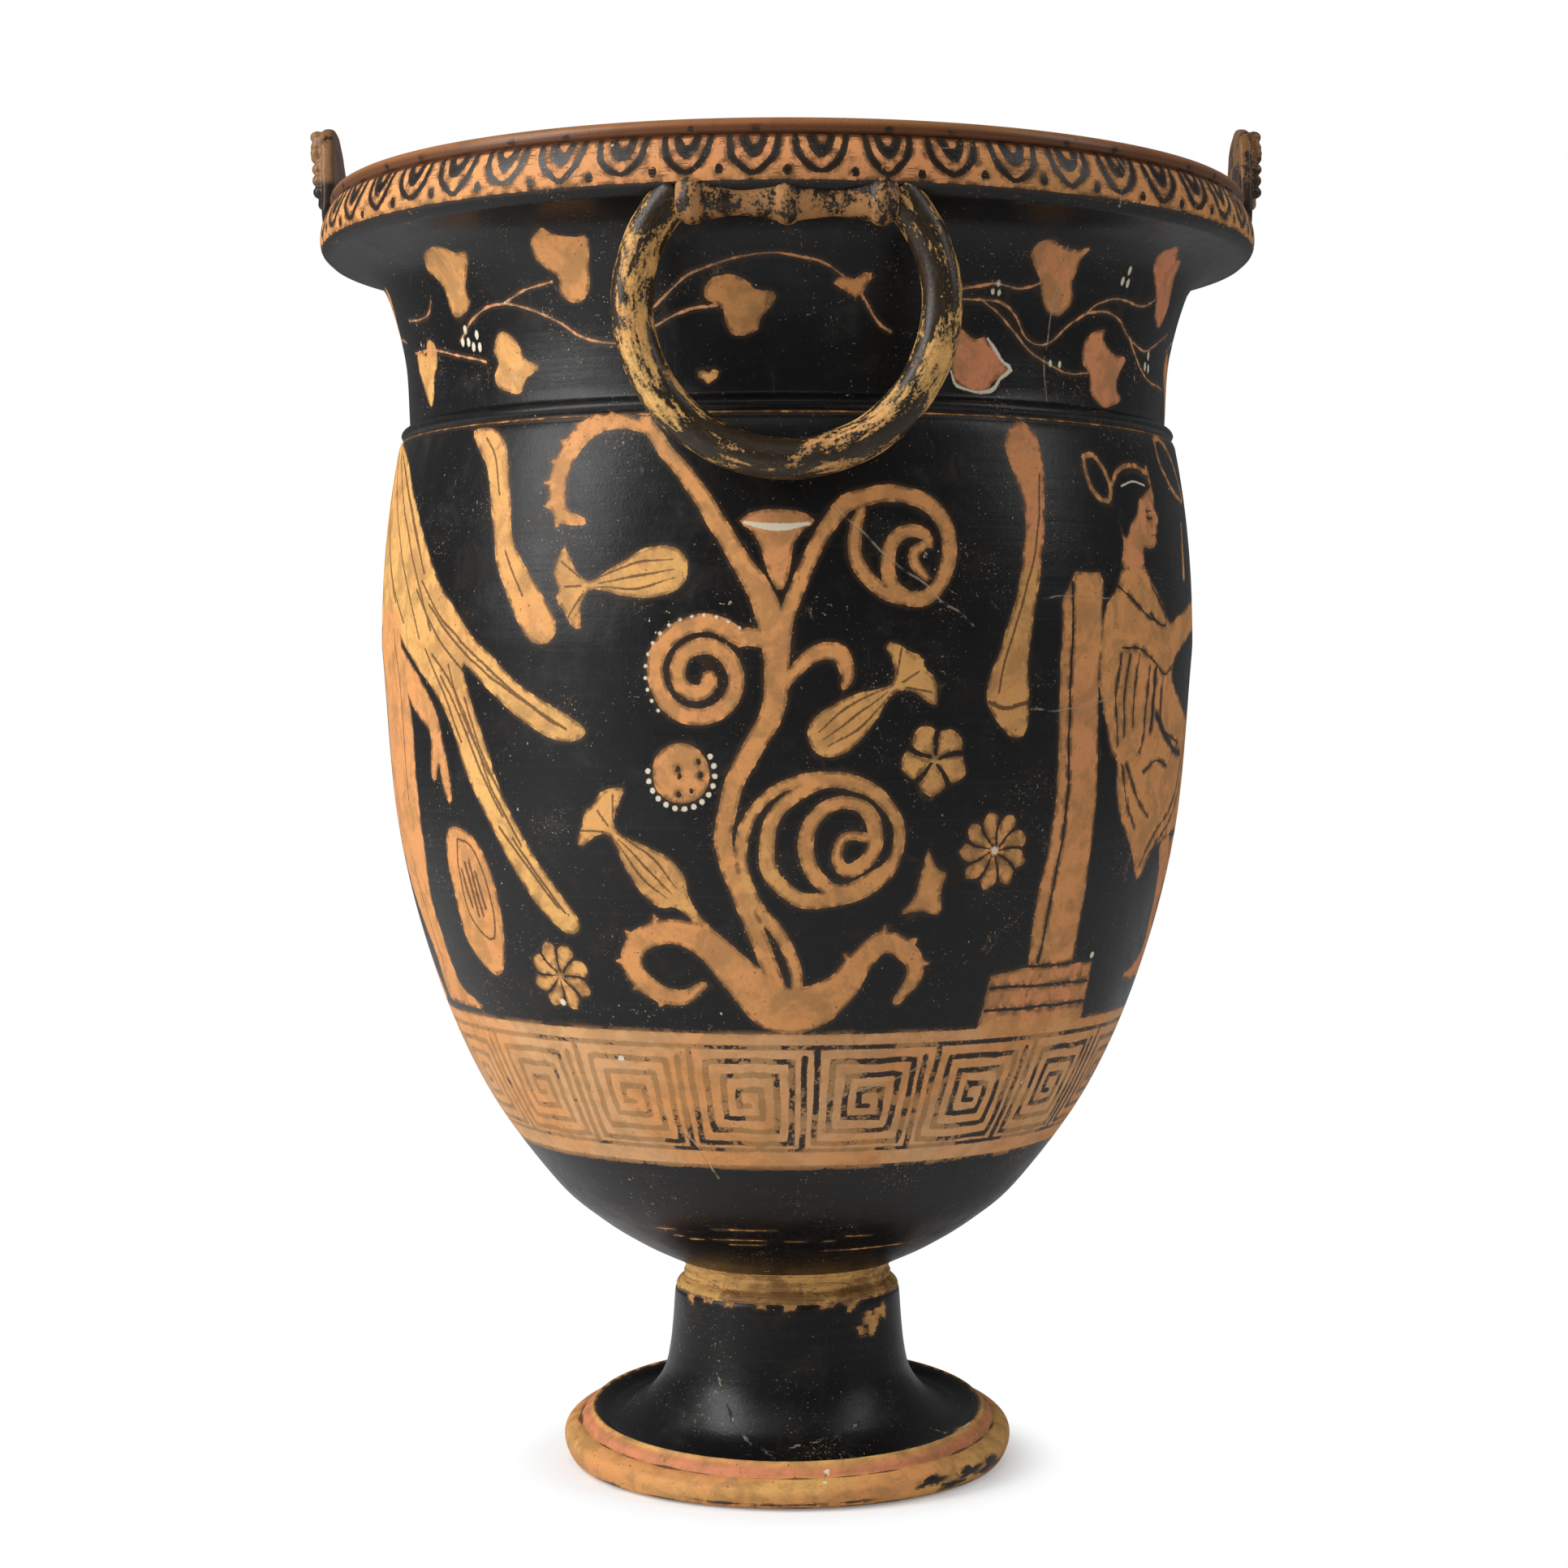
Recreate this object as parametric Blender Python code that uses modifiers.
"""A greek wine krater: turned bowl, neck and foot, two ring handles, two mask lugs.

The vessel stands on the origin with +Z up. The ring handles hang under the rim
at the front (-Y) and the back (+Y), and the mask lugs stand on the lip at +X and -X.
Everything was fired as one piece, so it is one closed solid.
"""

import math

import bmesh
import bpy
from mathutils import Matrix, Vector


# Rim, from the outside in
RIM_RADIUS = 0.1816          # widest line of the egg band
BAND_HEIGHT = 0.0201         # egg band, from its lower edge to the lip
BAND_SLOPE = 0.0040          # how far the band draws in at its top
LIP_HEIGHT = 0.0055          # roll above the band
LIP_WALL = 0.0080            # thickness of the roll
RIM_OVERHANG = 0.0342        # rim beyond the narrowest line of the neck

# Neck and shoulder
NECK_HEIGHT = 0.0644         # from the shoulder ridge to the lower edge of the rim
RIDGE_HEIGHT = 0.0061        # small ridge between neck and belly
RIDGE_RELIEF = 0.0034        # how far the ridge stands out of the neck
SHOULDER_STEP = 0.0038       # belly beyond the neck at the shoulder

# Belly and bowl
SHOULDER_RISE = 0.0784       # from the widest line of the belly to the shoulder
BELLY_SWELL = 0.0073         # widest line beyond the shoulder
BOWL_DEPTH = 0.2405          # from the collar to the widest line
BOWL_WALL = 0.0070           # wall of the bowl and of the neck
FLOOR_RISE = 0.0125          # floor of the bowl above the collar's top

# Collar and stem
BASE_RADIUS = 0.0430         # where the bowl meets the collar
COLLAR_HEIGHT = 0.0120
COLLAR_RADIUS = 0.0401       # groove of the collar
STEM_TOP_RADIUS = 0.0439
STEM_HEIGHT = 0.0463         # from the crest of the foot plate to the collar
STEM_RADIUS = 0.0465         # just above the flare
STEM_WALL = 0.0085

# Foot plate
CREST_HEIGHT = 0.0212
CREST_RADIUS = 0.0775        # raised edge of the dished top
DISH_RADIUS = 0.0690         # flat of the dish
DISH_DEPTH = 0.0036
FOOT_RADIUS = 0.0881         # roll round the plate
ROLL_HEIGHT = 0.0158
REST_RADIUS = 0.0805         # outer edge of the ring that it stands on
REST_WIDTH = 0.0120

# Ring handles
RING_RADIUS = 0.0523         # centre line
RING_TUBE = 0.0071
RING_GAP = 0.0117            # between the ring and the shoulder
RING_DROP = 0.0350           # centre of the ring below the axis of its spool
SPOOL_SINK = 0.0010          # axis of the spool below the lower edge of the rim
SPOOL_LENGTH = 0.0750
SPOOL_WAIST = 0.0048
SPOOL_COLLAR = 0.0084
SPOOL_COLLAR_WIDTH = 0.0060

# Mask lugs
LUG_HEIGHT = 0.0290          # above the lip
LUG_WIDTH = 0.0420
LUG_THICKNESS = 0.0085
LUG_ROOT = 0.0150            # how far it runs down the egg band
LUG_OVERHANG = 0.0026        # outer face beyond the widest line of the rim
FACE_RELIEF = 0.0035

TURNING_STEPS = 48

# Shares of height and width, from the collar up to the widest line
BOWL_CURVE = ((0.0, 0.0), (0.03, 0.13), (0.075, 0.277), (0.14, 0.428),
              (0.29, 0.652), (0.48, 0.824), (0.71, 0.945), (1.0, 1.0))
# Shares of height and overhang, from the ridge up to the lower edge of the rim
NECK_CURVE = ((0.0, 0.0), (0.33, 0.03), (0.54, 0.1), (0.75, 0.215),
              (0.85, 0.3), (0.925, 0.45), (0.965, 0.62), (1.0, 0.92))


# What follows from the sizes above
NECK_RADIUS = RIM_RADIUS - RIM_OVERHANG
SHOULDER_RADIUS = NECK_RADIUS + SHOULDER_STEP
BELLY_RADIUS = SHOULDER_RADIUS + BELLY_SWELL
STEM_TOP = CREST_HEIGHT + STEM_HEIGHT
BOWL_BASE = STEM_TOP + COLLAR_HEIGHT
BELLY_LINE = BOWL_BASE + BOWL_DEPTH
SHOULDER_LINE = BELLY_LINE + SHOULDER_RISE
NECK_BASE = SHOULDER_LINE + RIDGE_HEIGHT
RIM_BASE = NECK_BASE + NECK_HEIGHT
BAND_TOP = RIM_BASE + BAND_HEIGHT
LIP_TOP = BAND_TOP + LIP_HEIGHT
LIP_RADIUS = RIM_RADIUS - BAND_SLOPE
RING_PLANE = SHOULDER_RADIUS + RING_GAP + RING_TUBE
SPOOL_LINE = RIM_BASE - SPOOL_SINK
RING_CENTRE = SPOOL_LINE - RING_DROP


def smooth(points, count):
    """Return count points along a smooth curve through the given points."""
    points = [Vector(point) for point in points]
    ends = [2 * points[0] - points[1]] + points + [2 * points[-1] - points[-2]]
    result = []
    for i in range(count):
        place = i / (count - 1) * (len(points) - 1)
        k = min(int(place), len(points) - 2)
        t = place - k
        a, b, c, d = ends[k:k + 4]
        point = 0.5 * (2 * b + (c - a) * t + (2 * a - 5 * b + 4 * c - d) * t ** 2
                       + (3 * b - a - 3 * c + d) * t ** 3)
        result.append((point.x, point.y))
    return result


def inside(points, wall):
    """Return the points moved square to their curve, towards the axis."""
    result = []
    for i, (radius, height) in enumerate(points):
        before = points[max(i - 1, 0)]
        after = points[min(i + 1, len(points) - 1)]
        along = Vector((after[0] - before[0], after[1] - before[1])).normalized()
        result.append((radius - along.y * wall, height + along.x * wall))
    return result


def neck_line(count):
    """Outside of the neck, from the ridge up to the rim."""
    stations = [(NECK_RADIUS + RIM_OVERHANG * width, NECK_BASE + NECK_HEIGHT * height)
                for height, width in NECK_CURVE]
    return smooth(stations, count)


def belly_line(count):
    """Outside between the widest line and the shoulder, going up."""
    result = []
    for i in range(1, count + 1):
        share = i / count
        radius = BELLY_RADIUS - BELLY_SWELL * share ** 2.2
        result.append((radius, BELLY_LINE + SHOULDER_RISE * share))
    return result


def bowl_line(count):
    """Outside of the bowl, from the collar up to the widest line."""
    stations = [(BASE_RADIUS + (BELLY_RADIUS - BASE_RADIUS) * width,
                 BOWL_BASE + BOWL_DEPTH * height) for height, width in BOWL_CURVE]
    return smooth(stations, count)


def rim_line():
    """Lip and egg band, going down the outside."""
    lip = LIP_RADIUS
    crown = lip - LIP_WALL / 2
    return [
        (lip - LIP_WALL, LIP_TOP - 0.25 * LIP_HEIGHT),
        (crown, LIP_TOP),
        (lip - 0.14 * LIP_WALL, LIP_TOP - 0.16 * LIP_HEIGHT),
        (lip, LIP_TOP - 0.55 * LIP_HEIGHT),
        (lip - 0.10 * LIP_WALL, BAND_TOP),
        (lip + 0.33 * BAND_SLOPE, BAND_TOP - 0.15 * BAND_HEIGHT),
        (lip + 0.85 * BAND_SLOPE, BAND_TOP - 0.42 * BAND_HEIGHT),
        (RIM_RADIUS, BAND_TOP - 0.67 * BAND_HEIGHT),
        (lip + 0.80 * BAND_SLOPE, BAND_TOP - 0.83 * BAND_HEIGHT),
        (lip + 0.10 * BAND_SLOPE, RIM_BASE),
    ]


def foot_line():
    """Collar, stem and foot plate, going down the outside to the resting ring."""
    roll = FOOT_RADIUS - REST_RADIUS
    return [
        (COLLAR_RADIUS + 0.0004, STEM_TOP + 0.80 * COLLAR_HEIGHT),
        (COLLAR_RADIUS, STEM_TOP + 0.62 * COLLAR_HEIGHT),
        (STEM_TOP_RADIUS - 0.0010, STEM_TOP + 0.28 * COLLAR_HEIGHT),
        (STEM_TOP_RADIUS, STEM_TOP),
        (STEM_RADIUS - 0.0012, CREST_HEIGHT + 0.70 * STEM_HEIGHT),
        (STEM_RADIUS, CREST_HEIGHT + 0.48 * STEM_HEIGHT),
        (STEM_RADIUS + 0.09 * (DISH_RADIUS - STEM_RADIUS), CREST_HEIGHT + 0.30 * STEM_HEIGHT),
        (STEM_RADIUS + 0.29 * (DISH_RADIUS - STEM_RADIUS), CREST_HEIGHT + 0.14 * STEM_HEIGHT),
        (STEM_RADIUS + 0.58 * (DISH_RADIUS - STEM_RADIUS), CREST_HEIGHT + 0.01 * STEM_HEIGHT),
        (DISH_RADIUS, CREST_HEIGHT - DISH_DEPTH),
        (CREST_RADIUS - 0.0025, CREST_HEIGHT - 0.25 * DISH_DEPTH),
        (CREST_RADIUS, CREST_HEIGHT),
        (CREST_RADIUS + 0.32 * (FOOT_RADIUS - CREST_RADIUS), ROLL_HEIGHT + 0.0010),
        (CREST_RADIUS + 0.62 * (FOOT_RADIUS - CREST_RADIUS), ROLL_HEIGHT),
        (FOOT_RADIUS - 0.10 * roll, 0.86 * ROLL_HEIGHT),
        (FOOT_RADIUS, 0.62 * ROLL_HEIGHT),
        (FOOT_RADIUS - 0.22 * roll, 0.30 * ROLL_HEIGHT),
        (FOOT_RADIUS - 0.62 * roll, 0.06 * ROLL_HEIGHT),
        (REST_RADIUS, 0.0),
        (REST_RADIUS - REST_WIDTH, 0.0),
    ]


def hollow_line():
    """Underside of the foot, from the resting ring up to the axis."""
    inner = STEM_RADIUS - STEM_WALL
    start = REST_RADIUS - REST_WIDTH
    return [
        (start - 0.10 * (start - inner), 0.10 * STEM_TOP),
        (start - 0.50 * (start - inner), 0.20 * STEM_TOP),
        (start - 0.88 * (start - inner), 0.38 * STEM_TOP),
        (inner - 0.0015, 0.62 * STEM_TOP),
        (inner - 0.0060, 0.88 * STEM_TOP),
        (0.55 * inner, STEM_TOP + 0.20 * COLLAR_HEIGHT),
        (0.0, STEM_TOP + 0.40 * COLLAR_HEIGHT),
    ]


def bowl_inside():
    """Inside of the vessel, from the axis up to the lip."""
    floor = BOWL_BASE + FLOOR_RISE
    bowl = [p for p in inside(bowl_line(9), BOWL_WALL) if p[1] > floor + 0.004]
    belly = inside(belly_line(3), BOWL_WALL)
    neck = inside(neck_line(8), BOWL_WALL)[1:-3]
    line = [(0.0, floor), (0.55 * bowl[0][0], floor + 0.0008)] + bowl + belly + neck
    line.append((LIP_RADIUS - LIP_WALL - 0.0010, RIM_BASE + 0.60 * BAND_HEIGHT))
    return line


def vessel_profile():
    """Half section of the whole vessel: inside, lip, outside, foot and its hollow."""
    outside = rim_line()
    outside += reversed(neck_line(9)[:-1])
    outside += [
        (NECK_RADIUS + RIDGE_RELIEF, NECK_BASE - 0.35 * RIDGE_HEIGHT),
        (NECK_RADIUS + RIDGE_RELIEF, NECK_BASE - 0.70 * RIDGE_HEIGHT),
        (SHOULDER_RADIUS - 0.0016, SHOULDER_LINE + 0.16 * RIDGE_HEIGHT),
    ]
    outside += reversed(belly_line(4))
    outside += reversed(bowl_line(15))
    return bowl_inside() + outside + foot_line() + hollow_line()


def profile_object(name, points):
    """Object with one open line of points (radius, height) in the XZ plane."""
    mesh = bpy.data.meshes.new(name)
    edges = [(i, i + 1) for i in range(len(points) - 1)]
    mesh.from_pydata([(radius, 0.0, height) for radius, height in points], edges, [])
    return bpy.data.objects.new(name, mesh)


def turn(item, steps):
    """Turn the object's line round its own Z axis."""
    screw = item.modifiers.new("Turned", "SCREW")
    screw.axis = "Z"
    screw.steps = steps
    screw.render_steps = steps
    screw.use_merge_vertices = True
    screw.merge_threshold = 0.00005
    screw.use_smooth_shade = True
    return item


def guide(item, adders):
    """Put a piece that is joined into the vessel with the other such pieces."""
    item.hide_render = True
    item.display_type = "WIRE"
    adders.objects.link(item)
    return item


def ring_handle(name, side, adders):
    """C-shaped round bar in the plane under the rim; side is -1 at the front."""
    rise = math.asin(RING_DROP / RING_RADIUS)
    start = math.pi - rise - 0.05
    turn_angle = math.pi + 2 * (rise + 0.05)
    count = 21
    curve = bpy.data.curves.new(name, "CURVE")
    curve.dimensions = "3D"
    curve.bevel_depth = RING_TUBE
    curve.bevel_resolution = 3
    curve.use_fill_caps = True
    spline = curve.splines.new("POLY")
    spline.points.add(count - 1)
    for i in range(count):
        angle = start + turn_angle * i / (count - 1)
        x = RING_RADIUS * math.cos(angle)
        z = RING_CENTRE + RING_RADIUS * math.sin(angle)
        spline.points[i].co = (x, side * RING_PLANE, z, 1.0)
    bar = bpy.data.objects.new(name + "_line", curve)
    bpy.context.scene.collection.objects.link(bar)
    bpy.context.view_layer.update()
    depsgraph = bpy.context.evaluated_depsgraph_get()
    mesh = bpy.data.meshes.new_from_object(bar.evaluated_get(depsgraph))
    bm = bmesh.new()
    bm.from_mesh(mesh)
    bmesh.ops.remove_doubles(bm, verts=bm.verts[:], dist=0.00001)
    bmesh.ops.recalc_face_normals(bm, faces=bm.faces[:])
    bm.to_mesh(mesh)
    bm.free()
    item = bpy.data.objects.new(name, mesh)
    item.matrix_world = bar.matrix_world
    bpy.data.objects.remove(bar)
    return guide(item, adders)


def spool(name, side, adders):
    """Turned bar with three collars, from which the ring hangs."""
    half = SPOOL_LENGTH / 2
    wide = SPOOL_COLLAR_WIDTH / 2
    end_collar = half - 1.9 * wide
    line = [(0.0, half), (0.80 * SPOOL_COLLAR, half)]
    for centre in (end_collar, 0.0, -end_collar):
        line += [(SPOOL_COLLAR - 0.0012, centre + wide), (SPOOL_COLLAR, centre + 0.45 * wide),
                 (SPOOL_COLLAR, centre - 0.45 * wide), (SPOOL_COLLAR - 0.0012, centre - wide)]
        if centre > -end_collar:
            line += [(SPOOL_WAIST + 0.0008, centre - wide - 0.0030),
                     (SPOOL_WAIST, centre - end_collar / 2),
                     (SPOOL_WAIST + 0.0008, centre - end_collar + wide + 0.0030)]
    line += [(0.80 * SPOOL_COLLAR, -half), (0.0, -half)]
    item = turn(profile_object(name, line), 12)
    item.rotation_euler = (0.0, math.pi / 2, 0.0)
    item.location = (0.0, side * RING_PLANE, SPOOL_LINE)
    return guide(item, adders)


def lug(name, side, adders):
    """Upright plate on the lip with a rounded top; side is +1 at +X."""
    half = LUG_WIDTH / 2
    low = BAND_TOP - LUG_ROOT
    top = LIP_TOP + LUG_HEIGHT
    crown = 0.62 * half
    outline = [(-0.80 * half, low), (0.80 * half, low), (half, BAND_TOP),
               (0.93 * half, LIP_TOP + 0.35 * LUG_HEIGHT)]
    for i in range(9):
        angle = math.pi * (0.04 + 0.92 * i / 8)
        outline.append((crown * 1.25 * math.cos(angle), top - crown + crown * math.sin(angle)))
    outline += [(-0.93 * half, LIP_TOP + 0.35 * LUG_HEIGHT), (-half, BAND_TOP)]
    bm = bmesh.new()
    outer = side * (RIM_RADIUS + LUG_OVERHANG)
    inner = outer - side * LUG_THICKNESS
    corners = [bm.verts.new((inner, y, z)) for y, z in outline]
    face = bm.faces.new(corners)
    raised = bmesh.ops.extrude_face_region(bm, geom=[face])
    moved = [v for v in raised["geom"] if isinstance(v, bmesh.types.BMVert)]
    bmesh.ops.translate(bm, verts=moved, vec=(outer - inner, 0.0, 0.0))
    bmesh.ops.recalc_face_normals(bm, faces=bm.faces[:])
    mesh = bpy.data.meshes.new(name)
    bm.to_mesh(mesh)
    bm.free()
    return guide(bpy.data.objects.new(name, mesh), adders)


def face_boss(name, side, adders):
    """Low oval boss on the outer face of a lug, where its mask is modelled."""
    bm = bmesh.new()
    bmesh.ops.create_uvsphere(bm, u_segments=12, v_segments=6, radius=1.0)
    deep = LUG_THICKNESS / 2 + FACE_RELIEF
    tall = (LUG_HEIGHT + LIP_HEIGHT) * 0.46
    centre = LIP_TOP + LUG_HEIGHT - 1.12 * tall
    place = side * (RIM_RADIUS + LUG_OVERHANG - LUG_THICKNESS / 2)
    bmesh.ops.transform(bm, verts=bm.verts[:], matrix=Matrix.Translation((place, 0.0, centre))
                        @ Matrix.Diagonal((deep, 0.36 * LUG_WIDTH, tall, 1.0)))
    mesh = bpy.data.meshes.new(name)
    bm.to_mesh(mesh)
    bm.free()
    return guide(bpy.data.objects.new(name, mesh), adders)


def clay():
    """Black-glossed red clay, seen as one colour."""
    material = bpy.data.materials.new("painted_clay")
    material.use_nodes = True
    shader = material.node_tree.nodes["Principled BSDF"]
    shader.inputs["Base Color"].default_value = (0.028, 0.025, 0.023, 1.0)
    shader.inputs["Roughness"].default_value = 0.32
    shader.inputs["Metallic"].default_value = 0.0
    return material


def main():
    for item in list(bpy.data.objects):
        bpy.data.objects.remove(item)
    vessel = bpy.data.collections.new("greek_krater")
    adders = bpy.data.collections.new("joined_pieces")
    bpy.context.scene.collection.children.link(vessel)
    bpy.context.scene.collection.children.link(adders)

    krater = turn(profile_object("krater", vessel_profile()), TURNING_STEPS)
    krater.data.materials.append(clay())
    vessel.objects.link(krater)

    pieces = []
    for side, place in ((-1, "front"), (1, "back")):
        pieces.append(ring_handle("ring_" + place, side, adders))
        pieces.append(spool("spool_" + place, side, adders))
    for side, place in ((-1, "left"), (1, "right")):
        pieces.append(lug("lug_" + place, side, adders))
        pieces.append(face_boss("face_" + place, side, adders))
    for piece in pieces:
        join = krater.modifiers.new("Join " + piece.name, "BOOLEAN")
        join.operation = "UNION"
        join.solver = "EXACT"
        join.object = piece


main()
